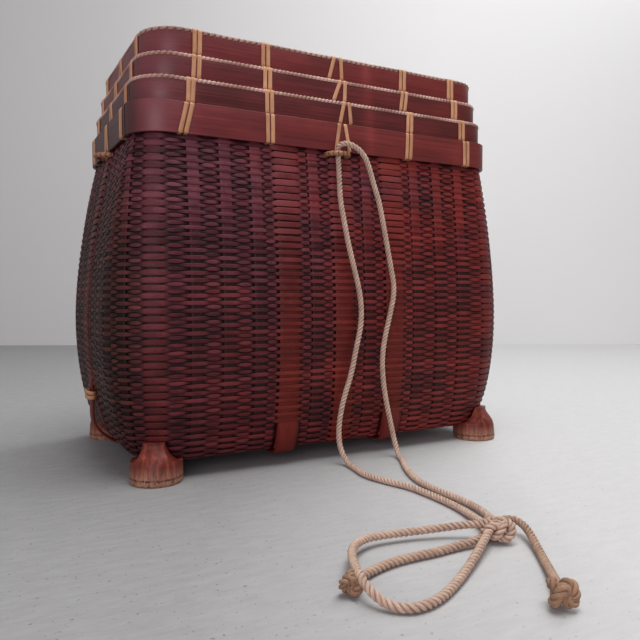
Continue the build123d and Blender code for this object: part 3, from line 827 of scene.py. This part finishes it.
def hoop(strips, plan, low, high, tone):
    """A split bamboo band, open at its scarf, with a swollen ring where its node was."""
    middle = smaller(plan, HOOP / 2)
    quarter = quarter_length(middle)
    points, out, run = ring_places(middle, 1.6, quarter - (plan[1] - SCARF_RUN))
    away = run - (4 * quarter + HOOP_NODE)
    wave = 0.12 * np.sin(run * 0.045 + low) + 0.06 * np.sin(run * 0.13 + high)
    wave = wave + 0.3 * np.exp(-((away / 1.6) ** 2))
    tone = tone + 0.5 * np.exp(-((away / 5.0) ** 2))
    points = points + out * wave[:, None] + UP * ((low + high) / 2)
    strips.sweep(points, UP, out, band_section(high - low, HOOP, 0.2), tone)


def bulge_of(turn):
    """How far a wrap bulges: 0 at the ends of each turn, 1 in its middle."""
    return np.clip(1 - np.abs(2 * np.mod(turn, 1.0) - 1) ** 2, 0, 1) ** 0.5


WRAP_SLANT = 0.3


def wrapped_ring(strips, plan, height, half_wide, half_tall, pitch, stained_with_more_shade):
    """A rounded ring whose surface bulges at each turn of its slanting wrap."""
    points, out, run = ring_places(plan, 0.45)
    angle = full_turn(14)
    cos, sin = np.cos(angle), np.sin(angle)
    total = 4 * quarter_length(plan)
    turns = round(total / pitch)
    bulge = bulge_of(run[:, None] / total * turns + WRAP_SLANT * sin[None, :])
    strength = 0.75 + 0.25 * np.sin(run * 0.021 + height) * np.sin(run * 0.043 + 1.0)
    swell = 1.2 * strength[:, None] * (bulge - 1)
    wide = half_wide * np.sign(cos) * np.abs(cos) ** 0.5
    tall = half_tall * np.sign(sin) * np.abs(sin) ** 0.5
    section = np.stack([tall[None, :] + swell * sin, wide[None, :] + swell * cos], -1)
    wrap = np.floor(run / total * turns)
    tone = 0.5 + 0.45 * np.sin(wrap * 12.9898)
    # Painted shade in the grooves between the turns; on the lid's edge it is deeper, and a stain
    # darkens the whole edge
    groove = np.clip(1.5 - 2.0 * bulge, 0.0, 1.0) * strength[:, None]
    if stained_with_more_shade:
        groove = np.clip(groove * 1.6 + 0.18, 0.0, 1.0)
    strips.sweep(points + UP * height, UP, out, section, tone, groove, closed=True)


STRIP_WIDTH = 3.1


def lash(strips, low, high, top_place, low_place, axis, sign, outer, inner):
    """One rattan strip looped round a band, at one end of an axis, 0 or 1. Its outer
    run may lean."""
    out_at = outer[axis] + 0.42
    in_at = inner[axis] + 0.4
    top = high - 0.42
    bottom = low + 0.42
    middle = (bottom + top) / 2
    middle_place = (low_place + top_place) / 2
    turn = [(in_at, 1.2), (in_at + 1.2, 0), (out_at - 1.6, 0), (out_at - 0.45, 0.3), (out_at, 1.4)]
    over = [(reach, top - depth, top_place) for reach, depth in turn]
    under = [(reach, bottom + depth, low_place) for reach, depth in turn]
    inside = (in_at, middle, middle_place)
    outside = (out_at + 0.05, middle, middle_place)
    loop = [under[0], inside, *over, outside, *under[::-1]]
    reach, height, place = smooth_line(loop, 0.8).T
    line = np.stack([place, sign * reach, height] if axis else [sign * reach, place, height], -1)
    sideways = RIGHT if axis else BACK
    tangents = tangents_of(line)
    across = unit(sideways - tangents * (tangents @ sideways)[:, None])
    out = outward(np.cross(across, tangents), line, line.mean(0))
    strips.sweep(line, across, out, flat_section(STRIP_WIDTH, 0.85, 0.4), rng.uniform(0.2, 0.9))


# Places of each band's strips on the front: at the top, then at the bottom
FRONT_LASHES = {
    "rim": (
        (-117.0, -113.1, -59.2, -55.3, -1.6, 3.6, 60.0, 63.8, 117.2, 121.0),
        (-121.0, -117.1, -58.9, -55.2, -4.2, 6.9, 59.3, 63.0, 117.6, 121.2)),
    "tray_lower": (
        (-114.7, -111.3, -58.8, -55.0, 3.4, 8.0, 61.9, 65.4, 114.0, 117.8),
        (-115.2, -112.2, -58.6, -54.9, 0.4, 9.3, 61.5, 65.1, 114.2, 117.9)),
    "tray_upper": (
        (-110.2, -106.5, -59.2, -55.4, 1.2, 5.5, 57.8, 61.7, 107.7, 111.4),
        (-110.8, -107.1, -59.3, -55.5, -3.6, 5.2, 56.3, 60.2, 107.8, 111.3)),
    "lid": (
        (-109.0, -105.4, -59.8, -56.0, -2.8, 3.0, 57.4, 61.0, 105.0, 108.6),
        (-109.2, -105.8, -59.7, -56.0, -6.6, 3.7, 57.2, 60.8, 105.1, 108.7)),
}
# Pairs of strips on the sides, and how far a pair's strips are from its middle
SIDE_PLACES = (-51.0, 0.0, 51.0)
PAIR = 1.85
MIDDLE_SPREAD = 2.2

seat = None
for name, plan, low, high, skirt, tone in BANDS:
    is_rim = name == "rim"
    is_lid = name == "lid"
    body = "basket" if is_rim else name
    hoop_top = high if is_rim else high - EDGE_HEIGHT
    outer = Strips()
    hoop(outer, plan, low + 0.1, hoop_top, tone)
    node = "rim_outer_hoop" if is_rim else f"{name}_hoop"
    outer.build(f"{name}_band", "bamboo_band", node, body=body)

    if is_rim:
        inner_plan = smaller(plan, HOOP + WEAVE)
    else:
        skirt_plan = smaller(seat, SKIRT_GAP)
        inner_plan = smaller(skirt_plan, TRAY_WALL)
    inner_top = hoop_top - 2.0 if is_lid else hoop_top
    points, out, run = ring_places(smaller(inner_plan, INNER_HOOP / 2), 2.0)
    points = points + UP * ((low + inner_top) / 2)
    inner = Strips()
    section = band_section(inner_top - low, INNER_HOOP, 0.4)
    inner.sweep(points, UP, out, section, 0.5, closed=True)
    inner.build(f"{name}_inner_band", "bamboo_band", f"{name}_inner_hoop", body=body)
    clear = smaller(inner_plan, INNER_HOOP)

    lashings = Strips()
    for top_place, low_place in zip(*FRONT_LASHES[name]):
        for sign in (-1.0, 1.0):
            ends = (-sign * top_place, -sign * low_place)
            lash(lashings, low, high, *ends, 1, sign, plan, clear)
    for sign in (-1.0, 1.0):
        for middle in SIDE_PLACES:
            for way in (-1.0, 1.0):
                place = middle + way * PAIR
                spread = MIDDLE_SPREAD * way if middle == 0.0 else 0.0
                lash(lashings, low, high, place, place + spread, 0, sign, plan, clear)
    lashings.build(f"{name}_lashing_strips", "rattan", f"{name}_lashings", body=body)

    if not is_rim:
        edge = Strips()
        wide = (plan[0] - clear[0]) / 2
        middle = high - EDGE_HEIGHT / 2 - 0.3
        tall = EDGE_HEIGHT / 2 + 0.3
        pitch = 4.3 if is_lid else 3.1
        wrapped_ring(edge, smaller(plan, wide), middle, wide + 0.6, tall, pitch, is_lid)
        edge.build(f"{name}_wrapped_edge", "rattan_edge", f"{name}_edge", body=body)

        woven = Strips()
        surface = straight_surface(skirt_plan)
        weave_rows(woven, surface, np.arange(low - 1.3, low - skirt, -SKIRT_ROW_PITCH), 4)
        heights = np.array([low + 1.0, low - skirt / 2, low - skirt + 0.3])
        stakes_up(woven, surface, heights, 0.75, 0.4)
        if is_lid:
            plait(woven, smaller(clear, 0.5), hoop_top - 1.0, 0.3, 0.6)
        else:
            plait(woven, smaller(skirt_plan, 0.6), low - skirt + 1.0, 0.3, 0.6)
        woven.build(f"{name}_woven", "bamboo_weave", f"{name}_weave", body=body)
    seat = clear

# ---- bars and side knots

BAR_SPAN = 16.5
BAR_RISE = 9.8
BAR_HEIGHT = 226.2
BAR_THICKNESS = 1.9
BAR_WRAP_PITCH = 3.4
BAR_STEPS = 110
CORD_BAR_PLACE = -3.0
bar_x, bar_y = wall_plan(BAR_HEIGHT)[:2]
bar_radius = (BAR_SPAN**2 / 4 + BAR_RISE**2) / (2 * BAR_RISE)
BARS = (
    ("cord_bar_front", (CORD_BAR_PLACE, -bar_y), (0.0, -1.0)),
    ("cord_bar_back", (CORD_BAR_PLACE, bar_y), (0.0, 1.0)),
    ("strap_bar_left", (-bar_x, 0.0), (-1.0, 0.0)),
    ("strap_bar_right", (bar_x, 0.0), (1.0, 0.0)),
)
for name, root, reach in BARS:
    sideways = (reach[1], -reach[0])
    angle = np.linspace(-1, 1, BAR_STEPS) * math.acos((bar_radius - BAR_RISE) / bar_radius)
    rise = BAR_RISE - bar_radius + bar_radius * np.cos(angle)
    flat = root + reach * rise[:, None] + sideways * (bar_radius * np.sin(angle))[:, None]
    line = np.insert(flat, 2, BAR_HEIGHT, axis=1)
    first, second = turning_frame(line)
    angle = full_turn(12)
    bulge = bulge_of(runs(line)[:, None] / BAR_WRAP_PITCH + WRAP_SLANT * np.sin(angle)[None, :])
    size = BAR_THICKNESS + 0.6 * (bulge - 1)
    section = np.stack([size * np.cos(angle), size * np.sin(angle)], -1)
    bar = Strips()
    # Painted shade in the grooves between the turns of the wrap, over a slightly darker tone
    bar.sweep(line, first, second, section, 0.1, np.clip(1.5 - 1.8 * bulge, 0.2, 1.0))
    bar.build(f"{name}_wrapped", "rattan", name)

KNOT_HEIGHT = 50.0
knot_x = wall_plan(KNOT_HEIGHT)[0] + 2.4
for name, side in (("side_knot_left", -1.0), ("side_knot_right", 1.0)):
    knot = Strips()
    for turn, rise in enumerate((-1.5, 1.5)):
        angle = np.linspace(0, 2 * math.pi, 48)
        x = side * (knot_x + 3.0 * np.cos(angle))
        y = 8.0 * np.sign(np.sin(angle)) * np.abs(np.sin(angle)) ** 0.6
        loop = np.stack([x, y, KNOT_HEIGHT + rise + 0.7 * np.sin(angle + turn)], -1)
        section = flat_section(STRIP_WIDTH, 1.3, 0.4)
        knot.sweep(loop, *turning_frame(loop), section, rng.uniform(0.3, 0.8))
    knot.build(f"{name}_wraps", "rattan", name)

# ---- feet

for name in ("foot_front_left", "foot_front_right", "foot_back_left", "foot_back_right"):
    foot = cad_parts[name]
    foot.data.materials.clear()
    foot.data.materials.append(LOOKS["culm_foot"])

# ---- cord

START_OF_CORD = (-0.004, -0.0882, 0.226)

LEFT_STRAND = [
    START_OF_CORD, (-0.00328, -0.08796, 0.2206), (-0.0038, -0.0896, 0.2118),
    (-0.0049, -0.0929, 0.193), (-0.0027, -0.0949, 0.177), (0.0002, -0.0962, 0.16),
    (0.0052, -0.0968, 0.141), (0.0104, -0.0972, 0.121), (0.0108, -0.0973, 0.102),
    (0.0063, -0.0972, 0.084), (0.0024, -0.0969, 0.065), (-0.0047, -0.0967, 0.046),
    (-0.0088, -0.0972, 0.028), (-0.009, -0.0984, 0.0126), (-0.0074, -0.1074, 0.0023),
    (-0.0094, -0.1215, 0.0023), (-0.0126, -0.139, 0.0023), (-0.0086, -0.157, 0.0023),
    (-0.0018, -0.175, 0.0023), (-0.0006, -0.195, 0.0023), (-0.0008, -0.214, 0.0023),
    (-0.0034, -0.231, 0.0024), (-0.0088, -0.246, 0.0036), (-0.0132, -0.2592, 0.0058),
]

RIGHT_STRAND = [
    START_OF_CORD, (-0.0046, -0.0884, 0.2305), (-0.0032, -0.0916, 0.2334),
    (0.0008, -0.0956, 0.2332), (0.0068, -0.0982, 0.2298), (0.0126, -0.0989, 0.2244),
    (0.0166, -0.0988, 0.216), (0.0202, -0.0984, 0.2056), (0.0254, -0.0981, 0.193),
    (0.0295, -0.0976, 0.177), (0.0334, -0.0973, 0.16), (0.0372, -0.0972, 0.143),
    (0.0406, -0.0973, 0.1265), (0.0365, -0.0974, 0.109), (0.0319, -0.0973, 0.0925),
    (0.0292, -0.0972, 0.076), (0.0301, -0.0971, 0.059), (0.0329, -0.0972, 0.0425),
    (0.0365, -0.0976, 0.027), (0.0393, -0.0988, 0.0126), (0.0376, -0.1074, 0.0023),
    (0.032, -0.1204, 0.0023), (0.0236, -0.1346, 0.0023), (0.0164, -0.1502, 0.0023),
    (0.0108, -0.166, 0.0023), (0.0082, -0.184, 0.0023), (0.0094, -0.202, 0.0023),
    (0.0088, -0.219, 0.0023), (0.0052, -0.235, 0.0026), (-0.0014, -0.2474, 0.004),
    (-0.0086, -0.2588, 0.0062),
]

LOOP = [
    (-0.0186, -0.2623, 0.008), (-0.0218, -0.257, 0.0076), (-0.028, -0.2524, 0.0064),
    (-0.0372, -0.248, 0.0052), (-0.0498, -0.2438, 0.0044), (-0.065, -0.2408, 0.0044),
    (-0.0782, -0.2416, 0.0052), (-0.0916, -0.2516, 0.0068), (-0.1014, -0.2694, 0.0082),
    (-0.1066, -0.284, 0.0084), (-0.107, -0.2922, 0.006), (-0.1044, -0.2972, 0.0032),
    (-0.101, -0.3024, 0.0023), (-0.0942, -0.306, 0.0023), (-0.083, -0.3044, 0.0023),
    (-0.0704, -0.2984, 0.0023), (-0.057, -0.2904, 0.0029), (-0.044, -0.2822, 0.0042),
    (-0.0322, -0.2746, 0.0062), (-0.0224, -0.268, 0.0074),
]

LEFT_TAIL = [
    (-0.019, -0.264, 0.004), (-0.0276, -0.266, 0.0032), (-0.0382, -0.265, 0.0023),
    (-0.0516, -0.2658, 0.0023), (-0.065, -0.265, 0.0023), (-0.0774, -0.2652, 0.0023),
    (-0.0882, -0.2678, 0.0023), (-0.0958, -0.2706, 0.0025), (-0.1016, -0.2738, 0.0032),
]

RIGHT_TAIL = [
    (-0.0062, -0.2604, 0.0078), (-0.0004, -0.2586, 0.0074), (0.0032, -0.2636, 0.0066),
    (-0.0004, -0.2732, 0.0048), (-0.0066, -0.2832, 0.0032), (-0.014, -0.2942, 0.0024),
    (-0.0226, -0.306, 0.0029), (-0.0308, -0.3162, 0.0044), (-0.037, -0.324, 0.0058),
]

ROPE_STEP = 0.5
# Radius of the cord's strands, their distance from its middle and the length of a turn
CORD_LAY = (0.97, 1.12, 8.6)
LEFT_KNOT_LAY = (0.95, 1.1, 9.0)
RIGHT_KNOT_LAY = (1.1, 1.25, 9.5)


def nurbs_line(points):
    """Points along a smooth spline through a route, in metres."""
    curve = bpy.data.curves.new("route", "CURVE")
    curve.dimensions = "3D"
    curve.resolution_u = 24
    spline = curve.splines.new("NURBS")
    spline.points.add(len(points) - 1)
    for point, place in zip(spline.points, points):
        point.co = (*place, 1.0)
    spline.order_u = 3
    spline.use_endpoint_u = True
    holder = bpy.data.objects.new("route", curve)
    mesh = bpy.data.meshes.new_from_object(holder)
    line = np.array([vertex.co for vertex in mesh.vertices])
    bpy.data.objects.remove(holder)
    bpy.data.meshes.remove(mesh)
    return line


def rope(strips, line, lay, brown, phase):
    """Three strands laid round a line, which is sampled again at even steps."""
    radius, offset, pitch = lay
    run = runs(line)
    even = np.linspace(0.0, run[-1], int(run[-1] / ROPE_STEP))
    line = np.stack([np.interp(even, run, values) for values in line.T], -1)
    first, second = turning_frame(line)
    run = runs(line)
    angle = full_turn(8)
    section = radius * np.stack([np.cos(angle), np.sin(angle)], -1)
    # Brown where the cord is dirty, with painted shade on the side of each strand that faces the
    # cord's middle
    shaded = np.clip(brown + 0.45 * (1 - np.cos(angle)), 0.0, 1.0)[None, :]
    for strand in range(3):
        turn = 2 * math.pi * (run / pitch + strand / 3) + phase
        radial = first * np.cos(turn)[:, None] + second * np.sin(turn)[:, None]
        path = line + offset * radial
        tangents = tangents_of(path)
        across = unit(radial - tangents * np.sum(radial * tangents, axis=1)[:, None])
        out = np.cross(tangents, across)
        strips.sweep(path, across, out, section, 0.3 + 0.2 * strand, shaded)


def declare_cord(name, route, brown):
    """A length of the cord, drawn as three laid strands in place of its part."""
    line = nurbs_line(route)
    strands = Strips()
    rope(strands, line / MM, CORD_LAY, brown, 0.0)
    cord = strands.build(f"{name}_rope", "cord", name)


def rope_knot(name, lay, brown, x, y, *rounds):
    """A knot of closed overhand loops seen from above, each with its height, its size,
    how tall it is, how it is turned and the phase of its lay."""
    knot = Strips()
    t = np.linspace(0, 2 * math.pi, 160)
    for z, size, tall, turn, phase in rounds:
        a = size * (np.sin(t) + 2 * np.sin(2 * t)) / 3
        b = size * (np.cos(t) - 2 * np.cos(2 * t)) / 3
        c, s = math.cos(turn), math.sin(turn)
        line = np.stack([x + c * a - s * b, y + s * a + c * b, z - tall * np.sin(3 * t)], -1)
        rope(knot, line, lay, brown, phase)
    return knot.build(f"{name}_rope", "cord", name)


rounds = (6.2, 7.9, 3.2, 0.5, 0.4), (6.6, 6.2, 2.8, 1.6, 1.4)
bow_knot = rope_knot("bow_knot", CORD_LAY, 0.15, -14.2, -264.6, *rounds)
rounds = (5.3, 4.0, 2.6, 0.2, 0.0), (5.0, 1.7, 1.6, 1.3, 0.0)
left_end_knot = rope_knot("end_knot_left", LEFT_KNOT_LAY, 1.0, -108.6, -280.8, *rounds)
rounds = (6.4, 4.9, 3.2, 0.9, 0.0), (6.0, 2.1, 2.0, 2.1, 0.0)
right_end_knot = rope_knot("end_knot_right", RIGHT_KNOT_LAY, 1.0, -41.8, -329.6, *rounds)

declare_cord("cord_left_strand", LEFT_STRAND, 0.1)
declare_cord("cord_right_strand", RIGHT_STRAND, 0.1)
declare_cord("cord_loop", LOOP, 0.15)
declare_cord("cord_left_tail", LEFT_TAIL, 0.35)
declare_cord("cord_right_tail", RIGHT_TAIL, 0.6)

# ---- floor, backdrop, light

CAMERA_PLACE = (-0.24592, -0.50608, 0.12479)
CAMERA_YAW = math.radians(28.49)
CAMERA_PITCH = math.radians(-2.39)
CAMERA_ROLL = math.radians(0.10)
FOCAL_PIXELS = 651.67
FRAME_PIXELS = 640
WALL_AWAY = 1.56
WALL_HEIGHT = 3.0
FLOOR_BEHIND = 3
BOARD_HALF = 4

ahead = np.array([math.sin(CAMERA_YAW), math.cos(CAMERA_YAW), 0.0])
right = np.array([math.cos(CAMERA_YAW), -math.sin(CAMERA_YAW), 0.0])
foot_of_camera = np.array([CAMERA_PLACE[0], CAMERA_PLACE[1], 0.0])
wall_foot = foot_of_camera + ahead * WALL_AWAY


def studio_material(name, grey_in_painted_shade, grey_in_full_light, turn_from, turn_to, rough, marks):
    """A pale board with painted shade, greyer to the left of the camera's axis, and faint
    scratches.
    """
    look = Look(name)
    place = look.place()[0]
    aside = look.vector_maths("DOT_PRODUCT", place, tuple(right)).outputs["Value"]
    aside = look.maths("SUBTRACT", aside, float(foot_of_camera @ right))
    side = look.share(aside, turn_from, turn_to)
    wear = look.noise(place, (60.0, 200.0, 60.0), 6.0, 0.7)
    specks = look.ramp(look.noise(place, 420.0, 2.0), (0.66, 0.72), 0.0, 1.0)
    # Painted shade: the grey falls from the right's to the left's between two turns
    grey = look.maths("ADD", grey_in_painted_shade, look.times(side, grey_in_full_light - grey_in_painted_shade))
    grey = look.maths("ADD", grey, look.total((wear, marks, 0.5)))
    grey = look.maths("SUBTRACT", grey, look.times(specks, marks))
    return look.made(grey, rough, 0.2)


def board(name, corners, material):
    mesh = bpy.data.meshes.new(name)
    mesh.from_pydata(corners, [], [(0, 1, 2, 3)])
    mesh.materials.append(material)
    placed(name, mesh)


floor_look = studio_material("studio_floor", 0.31, 0.55, -0.06, 0.14, 0.7, 0.14)
wall_look = studio_material("studio_wall", 0.66, 0.82, -0.5, 0.3, 0.9, 0.0)
near = foot_of_camera - ahead * FLOOR_BEHIND
aside = right * BOARD_HALF
low_left, low_right = wall_foot - aside, wall_foot + aside
rise = UP * WALL_HEIGHT
board("studio_floor", [near - aside, near + aside, low_right, low_left], floor_look)
board("studio_wall", [low_left, low_right, low_right + rise, low_left + rise], wall_look)


WHITE = (1.0, 1.0, 1.0)
PINKISH = (1.0, 0.84, 0.92)
# Name, place, what it points at, size, power and colour of each lamp
LAMPS = (
    ("top_softbox", (0.15, -0.25, 1.35), (0.0, 0.0, 0.1), (1.0, 0.8), 15.0, WHITE),
    ("right_softbox", (1.1, 0.4, 1.3), (0.1, 0.0, 0.15), (0.6, 0.8), 9.0, WHITE),
    ("left_softbox", (-0.85, -1.2, 0.4), (-0.1, 0.0, 0.18), (0.8, 0.6), 6.5, PINKISH),
)
for name, place, target, size, power, colour in LAMPS:
    lamp = bpy.data.lights.new(name, "AREA")
    lamp.shape = "RECTANGLE"
    lamp.size, lamp.size_y = size
    lamp.energy = power
    lamp.color = colour
    holder = placed(name, lamp)
    holder.location = place
    direction = Vector(target) - Vector(place)
    holder.rotation_euler = direction.to_track_quat("-Z", "Y").to_euler()

world = bpy.data.worlds.new("studio_world")
world.use_nodes = True
background = world.node_tree.nodes["Background"]
background.inputs["Color"].default_value = (1.0, 1.0, 1.0, 1.0)
background.inputs["Strength"].default_value = 0.34
bpy.context.scene.world = world

lens = bpy.data.cameras.new("camera")
lens.lens = FOCAL_PIXELS * lens.sensor_width / FRAME_PIXELS
camera = placed("camera", lens)
camera.location = CAMERA_PLACE
camera.rotation_euler = (math.pi / 2 + CAMERA_PITCH, CAMERA_ROLL, -CAMERA_YAW)
bpy.context.scene.camera = camera
bpy.context.scene.view_settings.view_transform = "Standard"
